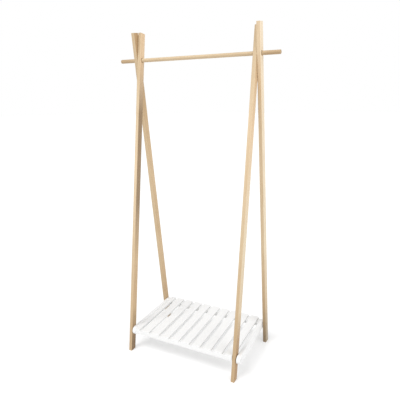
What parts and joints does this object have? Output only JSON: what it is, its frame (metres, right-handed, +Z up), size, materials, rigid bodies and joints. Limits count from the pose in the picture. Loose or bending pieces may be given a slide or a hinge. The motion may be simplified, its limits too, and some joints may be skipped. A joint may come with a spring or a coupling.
{
  "type": "clothes rack",
  "caption": "Freestanding wooden clothes rack: two crossed-leg end frames, a round hanging rod through both crossings and a low white slatted shelf.",
  "frame": {"origin": "on the floor, midway between the two end frames and midway between the front and rear feet", "axes": "+Z up, +X along the hanging rod towards the right frame, -Y is the front"},
  "size_m": [0.806, 0.4094, 1.607],
  "materials": {
    "natural_wood": "clear matt lacquer over pale wood",
    "white_wood": "opaque white paint, satin",
    "yellow_zinc": "yellow zinc plate",
    "white_screw": "white paint"
  },
  "bodies": {
    "rack": {"leg_left_front": "natural_wood", "leg_left_rear": "natural_wood", "leg_right_front": "natural_wood", "leg_right_rear": "natural_wood", "shelf_rail_left": "white_wood", "shelf_rail_right": "white_wood", "shelf_batten_front": "white_wood", "shelf_batten_rear": "white_wood", "slat_1": "white_wood", "slat_2": "white_wood", "slat_3": "white_wood", "slat_4": "white_wood", "slat_5": "white_wood", "slat_6": "white_wood", "slat_7": "white_wood", "slat_8": "white_wood", "slat_9": "white_wood", "slat_10": "white_wood", "screw_left_front": "yellow_zinc", "screw_left_rear": "yellow_zinc", "screw_right_front": "white_screw", "screw_right_rear": "yellow_zinc"},
    "rod": {"hanging_rod": "natural_wood"}
  },
  "joints": [
    {"name": "rod_turn", "type": "hinge", "parent": "rack", "child": "rod", "pos_m": [0, 0, 1.48], "axis": [1, 0, 0], "continuous": true}
  ]
}
